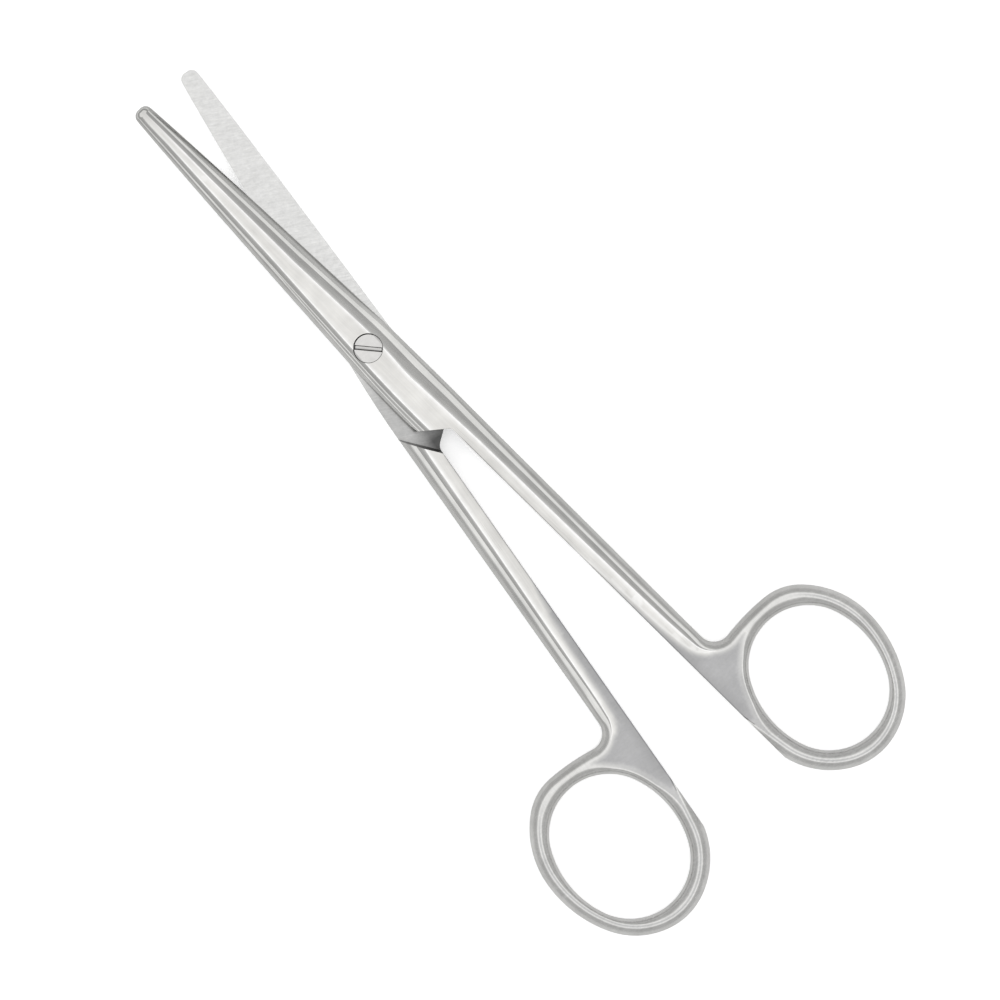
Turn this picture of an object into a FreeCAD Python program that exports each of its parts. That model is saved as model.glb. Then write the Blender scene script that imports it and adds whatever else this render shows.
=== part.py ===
import FreeCAD, Part
import math
import os

# Dissecting scissors with a lap joint, 170 mm long when shut, straight blades.
# Two steel forgings cross at a slotted screw. Each forging is a blade, one half of the
# lap joint, a shank and a finger ring in one piece; the screw is the third piece.
#
# Axes, in millimetres: the pivot runs up +Z through the origin, the blades point to +X,
# and the underside of the joint lies on the table at z = 0.
#
# Each forging is drawn shut, in its own plan (x, v): v grows from the pivot to the outer
# side, where its finger ring and its cutting edge are. It is then turned to its place.

# Overall sizes
BLADE_REACH = 57.65          # pivot to blade tip
RING_CENTRE_X = -95.87       # pivot to the middle of a ring hole, along the shank
RING_CENTRE_W = 14.05        # ring hole middle to the parting plane between the shanks
REST_ANGLE = 10.4            # angle between the two halves as the scissors lie on the table
PIVOT_OFFSET = 0.25          # the screw sits this far to one side of the parting plane

# Thickness, measured from the middle plane of the lap joint
JOINT_HALF = 2.5             # half thickness of the joint, so 5 mm over both laps
RING_HALF = 2.0              # half thickness at the ring
TIP_HALF = 1.25              # thickness of one blade at its tip
THIN_START_X = 5.0           # the blade keeps the joint's thickness this far out
LAP_GAP = 0.015              # each lap face stands back this far from the middle plane
PARTING_GAP = 0.02           # each shank face stands back this far from the parting plane
GRIND_STOCK = 0.06           # height left on the forging for the flat grinding to take off
GRIND_RUN = 1.0              # the stone runs on this far past both ends of the bar

# Blade in plan
ROOT_WIDTH = 9.49            # both blades together at the pivot
TIP_WIDTH = 3.05
TAPER_POWER = 0.85           # below 1 gives the blade its slight belly
BLADE_LEAN = 0.0185          # sideways drift of the blade per millimetre of length
ROOT_CENTRE = 0.514          # blade centre line at the pivot, off the screw axis
TIP_CORNER = 1.35            # rounding of the tip in plan
TIP_EDGE = 0.45              # rounding of the tip edge
TIP_SPARE = 0.12             # the rounding leaves the blade's sides alone by this much
TIP_TOP_SPARE = 0.02         # and its facet by this much, where it begins

# Joint and shank in plan, both halves
HEEL_X = -15.7               # where the joint ends and the shank begins
HEEL_HALF_WIDTH = 5.05       # the joint there, each side of the parting plane
HEEL_ANGLE = 50.0            # slope of the heel wall against the shank
SHOULDER_ANGLE = 41.0        # slope of the shoulder wall that faces the other heel
SHOULDER_GAP = 0.16          # room between a heel and the shoulder that stops it
SHOULDER_LEAN = 0.75         # the shoulder wall leans back this far over its height
UPPER_HEEL = (0.0, 0.9)      # how far the heel reaches past HEEL_X, and its hollow root
LOWER_HEEL = (1.0, 1.8)
SHANK_END_WIDTH = 4.8        # width of a shank where the ring begins
SHANK_END_X = -74.9
SHANK_TAPER_POWER = 1.5      # above 1 the shank narrows faster near the heel

# Cross-section: flat ground facet, sloping flank, rounded side
EDGE_FLANK = 0.385           # flank width over blade width, cutting side
SPINE_FLANK = (0.35, 0.24)   # the same on the spine side, at the tip and at the pivot
FLANK_TAPER_POWER = 0.6      # below 1 the shank's flank stays wide until it nears the ring
RIM_FLANK = 1.5              # flank width round the outside of the ring
EDGE_SIDE = (0.16, 0.18)     # side height and rounding over half thickness, cutting edge
BODY_SIDE = (0.50, 0.70)     # the same along joint, shank and ring
SPINE_SIDE = (0.56, 0.70)    # the same along the blade's spine
EDGE_START_X = 14.0          # the side is fully a cutting edge from here to the tip
EDGE_END_X = -10.0           # and fully rounded from here to the ring
ARC_SHARE = 0.94             # the rounding takes up no more than this share of a side's height
LOFT_SPANS = 16              # evenly spaced steps from section to section, tip to ring

# Ring
HOLE_LONG = 13.25            # half length and half width of the finger hole
HOLE_SHORT = 11.05
HOLE_END_R = 10.45           # radius of its two narrower ends
HOLE_TILT = 5.6              # its long axis turns in towards the parting plane
HOLE_FLANK = 1.1             # width and depth of the bevel round the hole
HOLE_SIDE = (0.45, 0.62)     # side height and rounding of the hole over half thickness
FLAT_OVERLAP = 0.1           # how far plate and swept edges run into each other
WEB_START_X = -76.3          # the shank's outer side turns into the ring's rim here
WEB_CORNER = (97.0, 3.07)    # hollow corner: heading it ends on, from the shank's, and radius
RIM_ARCS = ((84.0, 40.0), (45.0, 9.97), (0.0, 16.64), (-35.0, 22.5), (-80.0, 13.75),
            (-120.0, 11.98), (-171.5, 15.05))    # the rim's arcs, each to its heading

# Screw
HEAD_R = 2.5
HEAD_EDGE = 0.45             # height of the straight rim of the head
SHAFT_R = 1.6
HEAD_CONE = 0.9              # height of the cone under the head
SLOT_WIDTH = 0.8
SLOT_DEPTH = 0.65
SLOT_ANGLE = 44.6            # as the screw happens to stand, from +X
RUN_FIT = 0.05               # radial play between screw and upper half
BOSS_R = HEAD_R + 0.22       # the facet swells to this radius round the screw head
BOSS_DEPTH = 1.25            # the swell reaches this far down from the facet

# Construction
MID_Z = JOINT_HALF           # height of the joint's middle plane above the table
FAR = 60.0                   # past every edge of the object, for the cuts
NEAR = 0.01                  # how closely an edge is looked up by its place


def vec(x, y, z=0.0):
    return FreeCAD.Vector(x, y, z)


def ease(t):
    t = min(1.0, max(0.0, t))
    return t * t * (3.0 - 2.0 * t)


def mix(a, b, t):
    return a + (b - a) * t


def half_thickness(x):
    """Middle plane to ground facet: level at the joint, falling to the tip and to the ring."""
    if x > THIN_START_X:
        return mix(JOINT_HALF, TIP_HALF, (x - THIN_START_X) / (BLADE_REACH - THIN_START_X))
    if x < HEEL_X:
        t = (HEEL_X - x) / (HEEL_X - SHANK_END_X)
        return mix(JOINT_HALF, RING_HALF, min(1.0, t))
    return JOINT_HALF


def blade_sides(x, offset):
    """Outer side and spine of the blade, in v, for the half whose parting plane is at offset."""
    share = max(0.0, (BLADE_REACH - x) / BLADE_REACH)
    width = TIP_WIDTH + (ROOT_WIDTH - TIP_WIDTH) * share ** TAPER_POWER
    centre = math.copysign(ROOT_CENTRE + BLADE_LEAN * x, offset)
    return centre + width / 2.0, centre - width / 2.0


def plan_sides(x, offset):
    """Outer side and spine side of a half, in v, anywhere from the tip to the ring."""
    if x >= 0.0:
        return blade_sides(x, offset)
    outer_root, spine_root = blade_sides(0.0, offset)
    if x >= HEEL_X:
        rest = 1.0 - x / HEEL_X
        t = 1.0 - rest * rest
        outer = mix(outer_root, offset + HEEL_HALF_WIDTH, t)
        return outer, mix(spine_root, offset - HEEL_HALF_WIDTH, t)
    t = (HEEL_X - x) / (HEEL_X - SHANK_END_X)
    outer = mix(SHANK_END_WIDTH, HEEL_HALF_WIDTH, max(0.0, 1.0 - t) ** SHANK_TAPER_POWER)
    return offset + outer, offset - HEEL_HALF_WIDTH


def flank_widths(x, offset):
    """Widths of the sloping flanks on the outer side and on the spine side."""
    side, spine = blade_sides(max(x, 0.0), offset)
    share = max(0.0, x) / BLADE_REACH
    outer = EDGE_FLANK * (side - spine)
    back = mix(SPINE_FLANK[1], SPINE_FLANK[0], share) * (side - spine)
    if x < 0.0:
        outer = mix(RIM_FLANK, outer, max(0.0, 1.0 - x / SHANK_END_X) ** FLANK_TAPER_POWER)
    return outer, back


def rounded_side(side, ridge, height, land, radius, stock):
    """Corner points of one rounded side: facet edge, end of slope, middle and end of the arc."""
    run = abs(side - ridge)
    out = math.copysign(1.0, side - ridge)
    turn = math.atan2(run, height - land)
    reach = min(radius * math.tan(turn / 2.0), ARC_SHARE * land)
    radius = reach / math.tan(turn / 2.0)
    centre_v = side - out * radius
    centre_z = land - reach
    top_v = ridge - out * stock * run / (height - land)
    points = [(top_v, height + stock)]
    for angle in (turn, turn / 2.0, 0.0):
        points.append((centre_v + out * radius * math.cos(angle),
                       centre_z + radius * math.sin(angle)))
    return points


def section(x, offset):
    """Closed cross-section of the forging at x, the same above and below the middle plane."""
    side, spine = plan_sides(x, offset)
    height = half_thickness(x)
    t = ease((EDGE_START_X - x) / (EDGE_START_X - EDGE_END_X))
    land = height * mix(EDGE_SIDE[0], BODY_SIDE[0], t)
    radius = height * mix(EDGE_SIDE[1], BODY_SIDE[1], t)
    outer_flank, spine_flank = flank_widths(x, offset)
    outer = rounded_side(side, side - outer_flank, height, land, radius, GRIND_STOCK)
    back = rounded_side(spine, spine + spine_flank, height, height * SPINE_SIDE[0],
                        height * SPINE_SIDE[1], GRIND_STOCK)

    def at(point, up):
        return vec(x, point[0], MID_Z + up * point[1])

    edges = [Part.makeLine(at(back[0], 1), at(outer[0], 1)),
             Part.makeLine(at(outer[0], 1), at(outer[1], 1)),
             Part.Arc(at(outer[1], 1), at(outer[2], 1), at(outer[3], 1)).toShape(),
             Part.makeLine(at(outer[3], 1), at(outer[3], -1)),
             Part.Arc(at(outer[3], -1), at(outer[2], -1), at(outer[1], -1)).toShape(),
             Part.makeLine(at(outer[1], -1), at(outer[0], -1)),
             Part.makeLine(at(outer[0], -1), at(back[0], -1)),
             Part.makeLine(at(back[0], -1), at(back[1], -1)),
             Part.Arc(at(back[1], -1), at(back[2], -1), at(back[3], -1)).toShape(),
             Part.makeLine(at(back[3], -1), at(back[3], 1)),
             Part.Arc(at(back[3], 1), at(back[2], 1), at(back[1], 1)).toShape(),
             Part.makeLine(at(back[1], 1), at(back[0], 1))]
    return Part.Wire(edges)


def bar(offset):
    """Blade, joint and shank as one lofted forging, still full thickness all along."""
    stations = [mix(BLADE_REACH, SHANK_END_X, i / LOFT_SPANS) for i in range(LOFT_SPANS + 1)]
    return Part.makeLoft([section(x, offset) for x in stations], True, False)


def prism(points, z0, z1):
    """Upright prism over a closed run of plan points."""
    ring = [vec(p[0], p[1], z0) for p in points]
    face = Part.Face(Part.makePolygon(ring + [ring[0]]))
    return face.extrude(vec(0, 0, z1 - z0))


def flat_grinding(up):
    """What grinding takes off above (up = 1) or below (up = -1) the ground facets."""
    stations = (BLADE_REACH + GRIND_RUN, BLADE_REACH, THIN_START_X, HEEL_X, SHANK_END_X,
                SHANK_END_X - GRIND_RUN)
    line = [vec(x, -FAR, MID_Z + up * half_thickness(x)) for x in stations]
    high = MID_Z + up * 3.0 * JOINT_HALF
    line += [vec(stations[-1], -FAR, high), vec(stations[0], -FAR, high), line[0]]
    return Part.Face(Part.makePolygon(line)).extrude(vec(0, 2 * FAR, 0))


class Stretch:
    """One stretch of the ring's rim in plan: an arc, or a straight line where turn is 0.

    Plans of the ring are drawn with the shank pointing to +x and turned over at the end."""

    def __init__(self, start, heading, turn, size):
        self.start = start
        self.turn = turn
        self.ahead = vec(math.cos(math.radians(heading)), math.sin(math.radians(heading)))
        self.outward = vec(-self.ahead.y, self.ahead.x)
        self.size = size
        self.centre = start + self.outward * math.copysign(size, turn)
        self.end = self.point(1.0)

    def point(self, share):
        if self.turn == 0.0:
            return self.start + self.ahead * (self.size * share)
        arm = FreeCAD.Rotation(vec(0, 0, 1), self.turn * share).multVec(self.start - self.centre)
        return self.centre + arm

    def edge(self):
        if self.turn == 0.0:
            return Part.makeLine(self.start, self.end)
        return Part.Arc(self.start, self.point(0.5), self.end).toShape()

    def sweep(self, profile):
        if self.turn == 0.0:
            return profile.extrude(self.ahead * self.size)
        return profile.revolve(self.centre, vec(0, 0, 1), self.turn)


def rim_stretches(offset, inset):
    """The rim from the shank's side round the ring to its run-out, drawn inset from the edge."""
    start = vec(-SHANK_END_X, offset + SHANK_END_WIDTH - inset)
    stretches = [Stretch(start, 0.0, 0.0, SHANK_END_X - WEB_START_X)]
    heading = 0.0
    for end_heading, radius in (WEB_CORNER,) + RIM_ARCS:
        turn = end_heading - heading
        radius += math.copysign(inset, turn)
        stretches.append(Stretch(stretches[-1].end, heading, turn, radius))
        heading = end_heading
    length = (start.x - stretches[-1].end.x) / math.cos(math.radians(heading))
    return stretches + [Stretch(stretches[-1].end, heading, 0.0, length)]


def hole_stretches(offset, outset):
    """The finger hole, an oval of four arcs, walked so that the steel is on the right hand."""
    end_r = HOLE_END_R + outset
    out = HOLE_LONG - HOLE_END_R
    side_r = outset + (out ** 2 + HOLE_SHORT ** 2 - HOLE_END_R ** 2) / (2.0 * (HOLE_SHORT - HOLE_END_R))
    lean = math.degrees(math.atan2(out, side_r - HOLE_SHORT - outset))
    start = vec(out, 0) + vec(math.sin(math.radians(lean)), -math.cos(math.radians(lean))) * end_r
    tilt = FreeCAD.Rotation(vec(0, 0, 1), -HOLE_TILT)
    middle = vec(-RING_CENTRE_X, offset + RING_CENTRE_W)
    stretches = []
    corner = middle + tilt.multVec(start)
    heading = lean - HOLE_TILT
    for turn, radius in ((180.0 - 2.0 * lean, end_r), (2.0 * lean, side_r)) * 2:
        stretches.append(Stretch(corner, heading, turn, radius))
        corner = stretches[-1].end
        heading += turn
    return stretches


def edge_profile(stretch, width, side):
    """Cross-section of the flank along a rim or hole, with a little of the flat behind it."""
    corner = rounded_side(0.0, -width, RING_HALF, RING_HALF * side[0], RING_HALF * side[1], 0.0)
    corner.insert(0, (-width - 2.0 * FLAT_OVERLAP, RING_HALF))

    def at(index, up):
        return stretch.start + stretch.outward * corner[index][0] + vec(0, 0, MID_Z + up * corner[index][1])

    edges = [Part.makeLine(at(0, -1), at(0, 1)), Part.makeLine(at(4, 1), at(4, -1))]
    for up in (1, -1):
        edges += [Part.makeLine(at(0, up), at(1, up)), Part.makeLine(at(1, up), at(2, up)),
                  Part.Arc(at(2, up), at(3, up), at(4, up)).toShape()]
    return Part.Face(Part.Wire(Part.__sortEdges__(edges)))


def ring(offset):
    """Ring and web: a flat plate with a rounded edge swept round its rim and its hole."""
    bands = [s.sweep(edge_profile(s, RIM_FLANK, BODY_SIDE)) for s in rim_stretches(offset, 0.0)]
    bands += [s.sweep(edge_profile(s, HOLE_FLANK, HOLE_SIDE)) for s in hole_stretches(offset, 0.0)]
    inner = rim_stretches(offset, RIM_FLANK + FLAT_OVERLAP)
    edges = [s.edge() for s in inner] + [Part.makeLine(inner[-1].end, inner[0].start)]
    opening = [s.edge() for s in hole_stretches(offset, HOLE_FLANK + FLAT_OVERLAP)]
    height = vec(0, 0, 2.0 * RING_HALF)
    plate = Part.Face(Part.Wire(edges)).extrude(height)
    plate = plate.cut(Part.Face(Part.Wire(opening)).extrude(height))
    plate.translate(vec(0, 0, MID_Z - RING_HALF))
    whole = plate.multiFuse(bands).removeSplitter()
    return whole.mirror(vec(0, 0, 0), vec(1, 0, 0))


def inner_clearing(offset, heel):
    """All that lies past the parting face and the heel: the other half's room."""
    slope = 1.0 / math.tan(math.radians(HEEL_ANGLE))

    def wall_x(w):
        return HEEL_X - heel[0] - (w + HEEL_HALF_WIDTH) * slope

    far = RING_CENTRE_X - FAR
    points = [(wall_x(-FAR), -FAR), (wall_x(PARTING_GAP), PARTING_GAP), (far, PARTING_GAP), (far, -FAR)]
    clearing = prism([(x, offset + w) for x, w in points], -JOINT_HALF, MID_Z + 2.0 * JOINT_HALF)
    root = [e for e in clearing.Edges if e.BoundBox.ZLength > JOINT_HALF
            and abs(e.BoundBox.Center.x - points[1][0]) < NEAR]
    return clearing.makeFillet(heel[1], root)


def lap_clearing(offset, other_heel):
    """What is milled away under the lap, from the tip back to the leaning shoulder wall."""
    slope = 1.0 / math.tan(math.radians(SHOULDER_ANGLE))
    reach = BLADE_REACH + FAR
    loops = []
    for drop in (0.0, 2.0):
        foot = HEEL_X - other_heel[0] - SHOULDER_GAP - drop * SHOULDER_LEAN - HEEL_HALF_WIDTH * slope
        points = [(foot - FAR * slope, -FAR), (foot + FAR * slope, FAR), (reach, FAR), (reach, -FAR)]
        loop = [vec(x, offset + w, MID_Z + LAP_GAP - drop * JOINT_HALF) for x, w in points]
        loops.append(Part.makePolygon(loop + [loop[0]]))
    return Part.makeLoft(loops, True, True)


def tip_rounding(offset):
    """What is ground away round the blade's tip, in plan and over its edge."""
    start = BLADE_REACH - 1.5 * TIP_CORNER
    wide = blade_sides(start, offset)
    end = blade_sides(BLADE_REACH, offset)
    points = [(start, wide[1] - TIP_SPARE), (BLADE_REACH, end[1]), (BLADE_REACH, end[0]),
              (start, wide[0] + TIP_SPARE)]
    top = MID_Z + half_thickness(start) + TIP_TOP_SPARE
    kept = prism(points, MID_Z - JOINT_HALF, top)
    corners = [e for e in kept.Edges
               if e.BoundBox.XMin > BLADE_REACH - NEAR and e.BoundBox.ZLength > TIP_HALF]
    kept = kept.makeFillet(TIP_CORNER, corners)
    rim = [e for e in kept.Edges if e.BoundBox.ZMin > top - NEAR and e.BoundBox.XMax > BLADE_REACH - NEAR]
    kept = kept.makeFillet(TIP_EDGE, rim)
    around = Part.makeBox(BLADE_REACH, 2.0 * ROOT_WIDTH, 4.0 * JOINT_HALF,
                          vec(start, -ROOT_WIDTH, MID_Z - 2.0 * JOINT_HALF))
    return around.cut(kept)


def forging(offset, heel, other_heel):
    """One half before it is bored: its lap lies above the middle plane."""
    steel = bar(offset)
    for up in (1, -1):
        steel = steel.cut(flat_grinding(up))
    steel = steel.fuse(ring(offset))
    steel = steel.cut(inner_clearing(offset, heel))
    steel = steel.cut(lap_clearing(offset, other_heel))
    return steel.cut(tip_rounding(offset)).removeSplitter()


def upright(radius, z0, z1):
    return Part.makeCylinder(radius, z1 - z0, vec(0, 0, z0))


def upper_half():
    """The half with the screw head let into it, seen from above."""
    steel = forging(PIVOT_OFFSET, UPPER_HEEL, LOWER_HEEL)
    top = MID_Z + JOINT_HALF
    steel = steel.fuse(upright(BOSS_R, top - BOSS_DEPTH, top)).removeSplitter()
    steel = steel.cut(upright(SHAFT_R + RUN_FIT, 0.0, top))
    steel = steel.cut(upright(HEAD_R + RUN_FIT, top - HEAD_EDGE - RUN_FIT, top))
    cone = Part.makeCone(SHAFT_R + RUN_FIT, HEAD_R + RUN_FIT, HEAD_CONE,
                         vec(0, 0, top - HEAD_EDGE - HEAD_CONE - RUN_FIT))
    return steel.cut(cone).mirror(vec(0, 0, 0), vec(0, 1, 0))


def lower_half():
    """The half the screw is threaded into, turned over so that its lap lies below."""
    steel = forging(-PIVOT_OFFSET, LOWER_HEEL, UPPER_HEEL).mirror(vec(0, 0, MID_Z), vec(0, 0, 1))
    return steel.cut(upright(SHAFT_R, -JOINT_HALF, MID_Z))


def joint_screw():
    """Slotted countersunk screw, its end ground flush with the underside."""
    top = MID_Z + JOINT_HALF
    under_head = top - HEAD_EDGE
    screw = upright(SHAFT_R, 0.0, top).fuse(upright(HEAD_R, under_head, top))
    screw = screw.fuse(Part.makeCone(SHAFT_R, HEAD_R, HEAD_CONE, vec(0, 0, under_head - HEAD_CONE)))
    slot = Part.makeBox(4.0 * HEAD_R, SLOT_WIDTH, SLOT_DEPTH, vec(-2.0 * HEAD_R, -SLOT_WIDTH / 2.0,
                                                                top - SLOT_DEPTH))
    slot.rotate(vec(0, 0, 0), vec(0, 0, 1), SLOT_ANGLE)
    return screw.removeSplitter().cut(slot)


def turned(shape, angle):
    copy = shape.copy()
    copy.rotate(vec(0, 0, 0), vec(0, 0, 1), angle)
    return copy


def build():
    return {"upper_half": turned(upper_half(), REST_ANGLE / 2.0),
            "lower_half": turned(lower_half(), -REST_ANGLE / 2.0),
            "joint_screw": joint_screw()}


os.makedirs("parts", exist_ok=True)
for name, shape in build().items():
    shape.exportStep("parts/" + name + ".step")
    print(name, "volume", round(shape.Volume, 1), "valid", shape.isValid())
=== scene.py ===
# %% [markdown]
# # Dissecting scissors
# Two forged halves of satin stainless steel cross in a lap joint and turn on a slotted
# screw. This lesson models the steel, finishes it, and lights it on a pale table.
# Lengths are worked out in millimetres and brought to metres at the very end.

# %% The frame
import math

import bmesh
import bpy
import numpy as np
from mathutils import Matrix, Vector
from mathutils.bvhtree import BVHTree
from mathutils.geometry import barycentric_transform, delaunay_2d_cdt


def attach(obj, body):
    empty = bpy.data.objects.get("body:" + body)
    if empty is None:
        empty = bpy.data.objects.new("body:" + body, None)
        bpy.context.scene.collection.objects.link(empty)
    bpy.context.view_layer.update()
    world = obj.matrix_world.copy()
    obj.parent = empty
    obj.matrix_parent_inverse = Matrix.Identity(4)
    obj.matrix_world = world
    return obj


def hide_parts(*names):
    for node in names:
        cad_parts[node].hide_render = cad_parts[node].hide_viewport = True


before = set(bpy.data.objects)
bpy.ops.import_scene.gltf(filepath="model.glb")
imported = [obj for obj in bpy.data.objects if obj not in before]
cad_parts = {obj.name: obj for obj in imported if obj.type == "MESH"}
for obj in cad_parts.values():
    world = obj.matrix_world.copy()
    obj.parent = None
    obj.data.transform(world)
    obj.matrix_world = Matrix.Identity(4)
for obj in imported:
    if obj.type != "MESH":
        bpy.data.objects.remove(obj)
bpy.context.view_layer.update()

# %% [markdown]
# ## The sizes that both halves share
# Both halves come from the same forging die and differ only in the heel and in which side
# the lap is milled from. So each is drawn shut, in its own plan: x runs to the tip, and v
# from the pivot to the outer side, where the cutting edge and the finger ring are.

# %% Sizes of the forging, in millimetres
REACH = 57.65                # pivot to tip
BLADE_START = 5.0            # from here on the blade grows thinner
REST_ANGLE = 10.4            # between the halves as they lie
OFF_AXIS = 0.25              # the pivot sits this far off the parting plane
JOINT_HALF, RING_HALF, TIP_HALF = 2.5, 2.0, 1.25
ROOT_WIDTH, TIP_WIDTH = 9.49, 3.05
HEEL_X, HEEL_HALF = -15.7, 5.05
SHANK_END, SHANK_WIDTH = -74.9, 4.8
RIM_FLANK = 1.5
RIM_ARCS = ((97.0, 3.07), (84.0, 40.0), (45.0, 9.97), (0.0, 16.64), (-35.0, 22.5),
            (-80.0, 13.75), (-120.0, 11.98), (-171.5, 15.05))
LAND = 0.18                  # first strip of the flat behind a ridge
TIP_R, TIP_STEPS = 1.35, 12  # the tip is rounded by two arcs of this many steps each
RIM_RUN_IN = 1.4             # straight stretch before the ring's first arc
HOLE_PLACE = (95.87, 14.05)  # the finger hole's centre, behind the pivot and off the parting plane
HOLE_LEAN = -5.6             # degrees between the oval and the shank
HOLE_HALF_LENGTH, HOLE_HALF_WIDTH, HOLE_END_R = 13.25, 11.05, 10.45

# Flanks as they were ground by hand: x, width, and where the shelf begins and ends across it
BLADE_FLANK = ((57.0, 1.30, 0.42, 0.60), (40.0, 2.26, 0.40, 0.60), (20.0, 3.05, 0.37, 0.56),
               (8.0, 3.10, 0.30, 0.50), (2.0, 3.12, 0.24, 0.50), (-3.0, 3.38, 0.21, 0.50))
SHANK_FLANK = {
    "upper": ((-8.0, 3.72, 0.21, 0.49), (-16.0, 3.45, 0.24, 0.51), (-25.0, 3.10, 0.30, 0.57),
              (-35.0, 2.95, 0.36, 0.56), (-45.0, 2.80, 0.44, 0.57), (-60.0, 2.52, 0.46, 0.62),
              (-70.0, 2.27, 0.44, 0.66), (-74.0, 2.05, 0.42, 0.67), (-76.3, 1.85, 0.48, 0.76),
              (-78.6, RIM_FLANK, 0.92, 1.0)),
    "lower": ((-8.0, 3.20, 0.30, 0.58), (-22.0, 2.75, 0.43, 0.68), (-40.0, 2.62, 0.47, 0.72),
              (-52.0, 2.43, 0.52, 0.75), (-62.0, 2.30, 0.48, 0.76), (-70.0, 2.20, 0.45, 0.84),
              (-74.0, 2.10, 0.42, 0.84), (-76.3, 1.95, 0.46, 0.86), (-78.6, RIM_FLANK, 0.92, 1.0))}
SPINE_FLANK = ((57.0, 1.05, 0.40, 0.55), (50.0, 1.50, 0.40, 0.55), (40.0, 1.72, 0.40, 0.55),
               (22.0, 2.06, 0.40, 0.60), (5.0, 2.10, 0.36, 0.66), (-16.0, 2.22, 0.32, 0.68))
# Where the ground facet ends on the web's own plane: x, and distance from the parting plane
FACET_ENDS = {
    "upper": ((-47.0, -0.75), (-50.0, 0.02), (-55.0, 0.38), (-60.0, 0.66), (-65.0, 0.90),
              (-70.0, 1.12), (-74.0, 1.52), (-76.3, 1.88), (-77.6, 2.45), (-78.6, 3.20), (-79.1, 3.80)),
    "lower": ((-43.0, -0.75), (-48.0, 0.10), (-52.0, 0.95), (-56.0, 1.55), (-60.0, 1.90),
              (-66.0, 2.05), (-74.0, 2.30), (-76.3, 2.42), (-77.6, 2.75), (-78.5, 3.20), (-79.0, 3.62))}
# How bright the painted highlight is along the facet's end and on the land behind each ridge
FACET_END_HIGHLIGHT = {"upper": 0.5, "lower": 0.1}
LAND_HIGHLIGHT = 0.75
FAR = 1e9                    # more than any distance on the part
# Where the parting plane lies in each half's drawing
PARTING_AT = {"upper": OFF_AXIS, "lower": -OFF_AXIS}


def ease(t):
    t = np.clip(t, 0.0, 1.0)
    return t * t * (3.0 - 2.0 * t)


def mix(a, b, t):
    return a + (b - a) * t


def half_thickness(x):
    blade = mix(JOINT_HALF, TIP_HALF, np.clip((x - BLADE_START) / (REACH - BLADE_START), 0.0, 1.0))
    shank = mix(JOINT_HALF, RING_HALF, np.clip((HEEL_X - x) / (HEEL_X - SHANK_END), 0.0, 1.0))
    return np.where(x > 0.0, blade, shank)


def blade_sides(x, offset):
    share = np.clip((REACH - x) / REACH, 0.0, 1.0)
    fullness, centre_at_pivot, centre_slope = 0.85, 0.514, 0.0185
    width = TIP_WIDTH + (ROOT_WIDTH - TIP_WIDTH) * share ** fullness
    centre = math.copysign(1.0, offset) * (centre_at_pivot + centre_slope * x)
    return centre + width / 2.0, centre - width / 2.0


def plan_sides(x, offset):
    outer_root, spine_root = blade_sides(np.float64(0.0), offset)
    outer, spine = blade_sides(np.maximum(x, 0.0), offset)
    t = 1.0 - (1.0 - np.clip(x / HEEL_X, 0.0, 1.0)) ** 2
    outer = np.where(x < 0.0, mix(outer_root, offset + HEEL_HALF, t), outer)
    spine = np.where(x < 0.0, mix(spine_root, offset - HEEL_HALF, t), spine)
    t = np.clip((HEEL_X - x) / (HEEL_X - SHANK_END), 0.0, 1.0)
    shank = offset + mix(SHANK_WIDTH, HEEL_HALF, (1.0 - t) ** 1.5)
    return np.where(x < HEEL_X, shank, outer), spine


# %% [markdown]
# ## The outline of a half
# One closed line runs round a whole half: up the spine, round the tip, down the cutting
# edge and the shank, round the ring and back. It could be a curve object, but every point
# also has to know how wide the flank is there, how thick the steel is and how round its
# side is, so the outline is a table with one row of numbers for each point.

# %% Outline and finger hole as tables of points
def arc_points(centre, start, sweep, steps):
    angles = np.radians(np.linspace(0.0, sweep, steps + 1))
    arm = start - centre
    turn = np.stack([np.cos(angles) * arm[0] - np.sin(angles) * arm[1],
                     np.sin(angles) * arm[0] + np.cos(angles) * arm[1]], axis=1)
    return centre + turn


def rim_points(offset):
    """The ring's rim as tangent arcs, from the shank round to its run-out."""
    point = np.array([-SHANK_END, offset + SHANK_WIDTH])
    points = [point]
    point = point + (RIM_RUN_IN, 0.0)
    points.append(point)
    heading, chord, bend = 0.0, 0.45, 6.0
    for end_heading, radius in RIM_ARCS:
        sweep = end_heading - heading
        left = np.array([-math.sin(math.radians(heading)), math.cos(math.radians(heading))])
        centre = point + left * math.copysign(radius, sweep)
        steps = max(3, int(abs(math.radians(sweep)) * radius / chord), int(abs(sweep) / bend))
        run = arc_points(centre, point, sweep, steps)
        points += list(run[1:])
        point, heading = run[-1], end_heading
    slope = math.tan(math.radians(heading + 180.0))
    bottom = offset - HEEL_HALF
    far = np.array([point[0] - (point[1] - bottom) / slope, bottom])
    points += [mix(point, far, t) for t in np.linspace(0.04, 1.0, 25)]
    return np.array(points) * (-1.0, 1.0)


def tip_corner(edge_point, slope, out):
    """Centre of the arc that rounds the tip, and where it leaves the blade's side."""
    along = np.array([1.0, slope]) / math.hypot(1.0, slope)
    inward = np.array([along[1], -along[0]]) * out
    x = REACH - TIP_R
    base = edge_point + inward * TIP_R
    centre = base + along * ((x - base[0]) / along[0])
    return centre, centre - inward * TIP_R


def along_x(rows, x):
    """Columns of a table like those above, read off at x."""
    rows = np.array(rows)[::-1]
    return [np.interp(x, rows[:, 0], rows[:, k]) for k in range(1, rows.shape[1])]


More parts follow.
